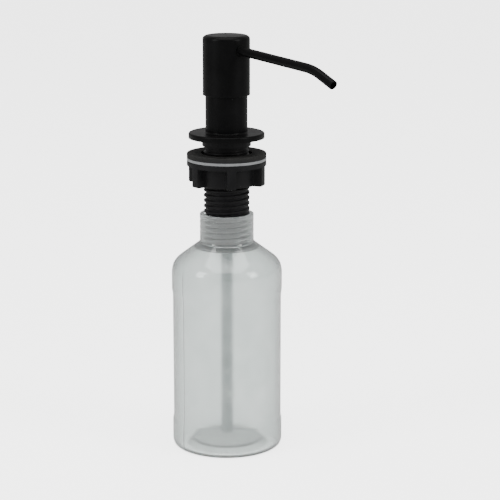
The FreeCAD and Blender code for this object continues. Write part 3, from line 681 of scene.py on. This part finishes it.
# ---------------------------------------------------------------- the pump
def make_closure():
    """The cup that hangs in the neck, with its groove for the O-ring."""
    _, bottom, rim_top = extent("pump_closure")
    rim, outside, groove = 11.3, 10.1, 8.9
    neck_top, well, well_floor = rim_top - 1.4, 7.2, rim_top - 8.4
    socket, socket_roof, hole = 8.2, well_floor - 2.5, 3.6
    ring, half = neck_top - 4.0, 0.8
    outline = rounded([
        (well, rim_top, 0.4), (rim, rim_top, 0.45), (rim, neck_top, 0.2),
        (outside, neck_top, 0.1), (outside, ring + half, 0.12),
        (groove, ring + half, 0.1), (groove, ring - half, 0.1),
        (outside, ring - half, 0.12), (outside, bottom, 0.35), (socket, bottom, 0.3),
        (socket, socket_roof, 0.1), (hole, socket_roof, 0.2), (hole, well_floor, 0.2),
        (well, well_floor, 0.3),
    ], 1.0)
    piece = carried("closure", outline)
    place(piece, "pump_insert", "pump_closure", "black_plastic", moulded_plastic)


def make_housing():
    """The barrel with its valve cage, and the socket that grips the dip tube."""
    flange, tail_bottom, top = extent("pump_housing")
    _, _, tube_top = extent("dip_tube")
    barrel, bore, flange_bottom = 7.2, 6.0, top - 1.8
    cage, lip, port, tail, tube = 3.6, 2.6, 2.0, 4.9, 3.2
    foot, lip_bottom = BARREL_FLOOR - 1.2, BARREL_FLOOR - 3.3
    seat_bottom = tube_top + 1.0
    seat_top = seat_bottom + 2.5
    outline = rounded([
        (bore, top, 0.2), (flange, top, 0.2), (flange, flange_bottom, 0.2),
        (barrel, flange_bottom, 0.3), (barrel, foot, 0.6),
        (tail, foot - barrel + tail, 0.8), (tail, tail_bottom, 0.4),
        (tube, tail_bottom, 0.2), (tube, tube_top, 0.1), (port, tube_top, 0.1),
        (port, seat_bottom, 0.1), (cage, seat_top, 0.1), (cage, lip_bottom, 0.1),
        (lip, lip_bottom, 0.1), (lip, BARREL_FLOOR, 0.2), (bore, BARREL_FLOOR, 0.3),
    ], 1.2)
    piece = carried("housing", outline, angles=even_angles(128))
    place(piece, "pump_insert", "pump_housing", "natural_plastic", pump_plastic)


def make_dip_tube():
    """The tube, its lower end cut on a slant that rises towards +Y."""
    outside, bottom, top = extent("dip_tube")
    wall, cut, margin = 1.0, 2.6, 1.0
    inside, beyond = outside - wall, outside + margin
    outline = rounded([
        (inside, bottom, 0.12), (outside, bottom, 0.12),
        (outside, top, 0.2), (inside, top, 0.2),
    ], 1.5)

    def shape(radius, height, angle):
        """No point is below the cutting plane, which rises by the cut and the margin
        from one side of the tube to the other, the margin below its end."""
        aside = radius * np.sin(angle)
        plane = bottom - margin + (aside + beyond) * (cut + margin) / (2 * beyond)
        return radius, np.maximum(height, plane)

    piece = carried("dip_pipe", outline, angles=even_angles(64), shape=shape)
    place(piece, "pump_insert", "dip_tube", "clear_plastic", tube_plastic)


def make_spring():
    """A coil with closed ends, built at its rest length of 24 mm. The real spring shortens
    to 11 mm at the end of the stroke; this coil keeps one length."""
    inset, closed_pitch, closed_from, closed_to = 0.5, 0.18, 0.7, 1.5
    lowest, highest = BARREL_FLOOR + inset, -inset
    turns = np.linspace(0, COIL_TURNS, 2000)
    opened = smooth(closed_from, closed_to, turns)
    closing = smooth(COIL_TURNS - closed_to, COIL_TURNS - closed_from, turns)
    climb = np.cumsum(closed_pitch + opened * (1 - closing))
    climb = lowest + (highest - lowest) * (climb - climb[0]) / (climb[-1] - climb[0])
    length = COIL_TURNS * FULL_TURN * COIL

    def line(distance):
        """Angle in step with the distance, height from the summed pitch."""
        turn = np.clip(distance / length, 0, 1) * COIL_TURNS
        angle = turn * FULL_TURN
        height = np.interp(turn, turns, climb)
        radial = np.stack([np.cos(angle), np.sin(angle), 0 * angle], -1)
        centre = COIL * radial + height[..., None] * np.array([0, 0, 1.0])
        return centre, radial, np.array([0, 0, 1.0])

    outline = rounded([
        (0, 0), (WIRE, 0, 0.12), (WIRE, length, 0.12), (0, length),
    ], 0.6, closed=False)
    piece = carried("spring", outline, line, even_angles(14), closed=False)
    place(piece, "pump_insert", "return_spring", "steel", drawn_steel)
    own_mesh(piece)


make_cap()
make_spout()
make_collar()
make_shank()
make_nut()
for name, node, body, inside, edge, slot, material in (
    ("gasket", "deck_gasket", "sink_fixture", 14.5, 0.3, "rubber", dull_rubber),
    ("soft_washer", "rubber_washer", "clamp_washers", 13.9, 0.4, "rubber", dull_rubber),
    ("slip_washer", "friction_washer", "clamp_washers", 13.1, 0.25, "grey_plastic",
     washer_plastic),
    ("bottle_gasket", "bottle_seal", "bottle_seal_ring", 10.0, 0.25, "rubber",
     dull_rubber),
):
    make_ring(name, node, body, inside, edge, slot, material)
make_bottle()
make_closure()
make_housing()
make_dip_tube()
make_spring()

# These pieces keep the shape of their CAD nodes.
for names, material in (
    (("closure_o_ring", "spout_o_ring"), dull_rubber),
    (("head_core",), moulded_plastic),
    (("stem_guide", "pump_stem", "piston", "spring_seat"), pump_plastic),
    (("inlet_ball", "outlet_ball"), drawn_steel),
):
    for name in names:
        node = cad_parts[name]
        node.data.materials.clear()
        node.data.materials.append(material)

# ---------------------------------------------------------------- floor, light, camera
AZIMUTH, ELEVATION = math.radians(-38), math.radians(13)
LENS = 135
CAMERA_DISTANCE = 1.03
TOWARDS_SPOUT = 0.021
FLOOR_HALF = 12.0
FLOOR_SEEN, FLOOR_LIGHT = 3.2, 0.0
STUDIO_SEEN, STUDIO_LIGHT = 3.6, 0.5
THROUGH_BOTTLE = 0.5
low, high = cad_box
middle = Vector((0, -TOWARDS_SPOUT, (low.z + high.z) / 2))


def towards(azimuth, elevation):
    """Unit vector from the object to a place at that azimuth and elevation."""
    return Vector((
        math.sin(azimuth) * math.cos(elevation),
        -math.cos(azimuth) * math.cos(elevation),
        math.sin(elevation),
    ))


def seen_by_camera(tree, otherwise, brightness):
    """A strength for what the camera sees, half of it for what shows straight
    through the bottle, and another for the light that falls on the pieces."""
    path = tree.nodes.new("ShaderNodeLightPath").outputs
    straight = maths(tree, "LESS_THAN", path["Glossy Depth"], 0.5)
    through = maths(tree, "MULTIPLY", path["Is Transmission Ray"], straight)
    through = maths(tree, "MULTIPLY", through, THROUGH_BOTTLE)
    seen = maths(tree, "MAXIMUM", path["Is Camera Ray"], through)
    return remap(tree, seen, 0.0, 1.0, otherwise, brightness)


def make_floor():
    """A plain pale floor, as bright to the camera as what is behind it."""
    mesh = bpy.data.meshes.new("floor")
    corners = [
        (across * FLOOR_HALF, along * FLOOR_HALF, low.z)
        for across, along in ((-1, -1), (1, -1), (1, 1), (-1, 1))
    ]
    mesh.from_pydata(corners, [], [(0, 1, 2, 3)])
    floor = bpy.data.objects.new("floor", mesh)
    bpy.context.scene.collection.objects.link(floor)
    material = finish_of(
        "pale_floor", (0.80, 0.80, 0.79), (0.84, 0.84, 0.83),
        rough=(0.55, 0.65), grain=400.0, bump=0.02, waves=3.0,
    )
    tree = material.node_tree
    shader = tree.nodes["Principled BSDF"]
    shader.inputs["Emission Color"].default_value = (1, 1, 1, 1)
    glow = seen_by_camera(tree, FLOOR_LIGHT, FLOOR_SEEN)
    tree.links.new(glow, shader.inputs["Emission Strength"])
    mesh.materials.append(material)


def make_light(name, azimuth, elevation, distance, size, power):
    """A soft rectangular light that faces the object; degrees, metres, watts."""
    lamp = bpy.data.lights.new(name, "AREA")
    lamp.shape = "RECTANGLE"
    lamp.size, lamp.size_y = size
    lamp.energy = power
    light = bpy.data.objects.new(name, lamp)
    back = towards(math.radians(azimuth), math.radians(elevation))
    light.location = middle + back * distance
    light.rotation_euler = back.to_track_quat("Z", "Y").to_euler()
    bpy.context.scene.collection.objects.link(light)


def make_camera():
    """The camera, on the line from the object's middle at the viewing angle."""
    data = bpy.data.cameras.new("camera")
    data.lens = LENS
    camera = bpy.data.objects.new("camera", data)
    back = towards(AZIMUTH, ELEVATION)
    camera.location = middle + back * CAMERA_DISTANCE
    camera.rotation_euler = back.to_track_quat("Z", "Y").to_euler()
    bpy.context.scene.collection.objects.link(camera)
    bpy.context.scene.camera = camera


def make_studio():
    """Bright all round as the camera sees it, and dimmer as a source of light, so
    that dark pieces stay dark."""
    world = bpy.data.worlds.new("studio")
    world.use_nodes = True
    tree = world.node_tree
    background = tree.nodes["Background"]
    background.inputs["Color"].default_value = (1, 1, 1, 1)
    strength = seen_by_camera(tree, STUDIO_LIGHT, STUDIO_SEEN)
    tree.links.new(strength, background.inputs["Strength"])
    bpy.context.scene.world = world


make_floor()
make_light("left_panel", -98, 25, 1.7, (0.5, 1.0), 15)
make_light("right_panel", 22, 25, 1.7, (0.5, 1.0), 15)
make_light("top_panel", -38, 80, 1.2, (1.2, 1.2), 16)
make_camera()
make_studio()
